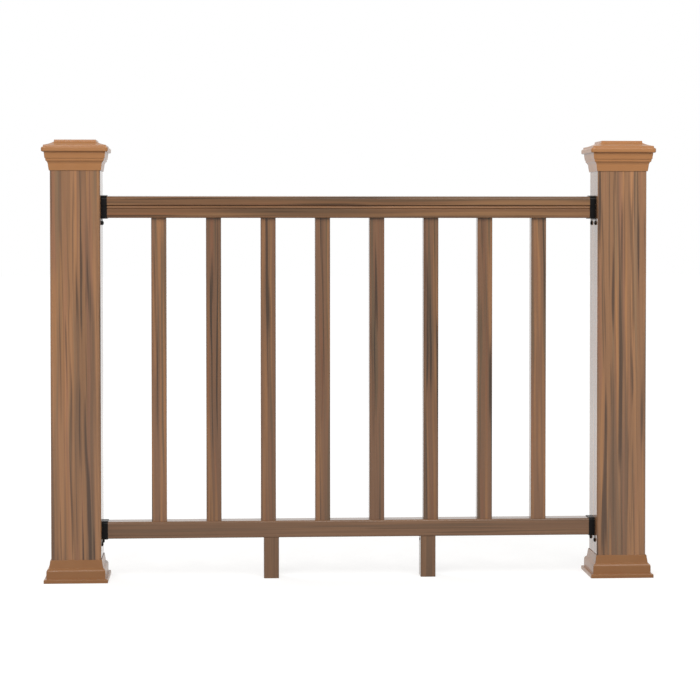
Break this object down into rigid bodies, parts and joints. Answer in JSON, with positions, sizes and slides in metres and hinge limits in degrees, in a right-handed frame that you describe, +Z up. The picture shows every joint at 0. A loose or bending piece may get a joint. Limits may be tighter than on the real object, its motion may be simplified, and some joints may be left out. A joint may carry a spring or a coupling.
{
  "type": "deck railing section",
  "caption": "Composite deck railing section: square posts with moulded caps and skirts, a profiled handrail and a bottom rail in black collar brackets, square balusters and foot blocks.",
  "frame": {"origin": "on the deck plane, midway between the two posts, on the railing's centre plane", "axes": "+X along the railing to the right as seen in the picture, +Y across it away from the viewer, +Z up"},
  "size_m": [1.4564, 0.1564, 1.046],
  "materials": {
    "composite": "matte",
    "trim": "satin",
    "bracket": "satin"
  },
  "bodies": {
    "root": {"baluster_1": "composite", "baluster_2": "composite", "baluster_3": "composite", "baluster_4": "composite", "baluster_5": "composite", "baluster_6": "composite", "baluster_7": "composite", "baluster_8": "composite", "bottom_left_bracket": "bracket", "bottom_rail": "composite", "bottom_right_bracket": "bracket", "left_foot_block": "composite", "left_post_cap": "trim", "left_post_skirt": "trim", "left_post_sleeve": "composite", "right_foot_block": "composite", "right_post_cap": "trim", "right_post_skirt": "trim", "right_post_sleeve": "composite", "top_left_bracket": "bracket", "top_rail": "composite", "top_right_bracket": "bracket"}
  },
  "joints": []
}
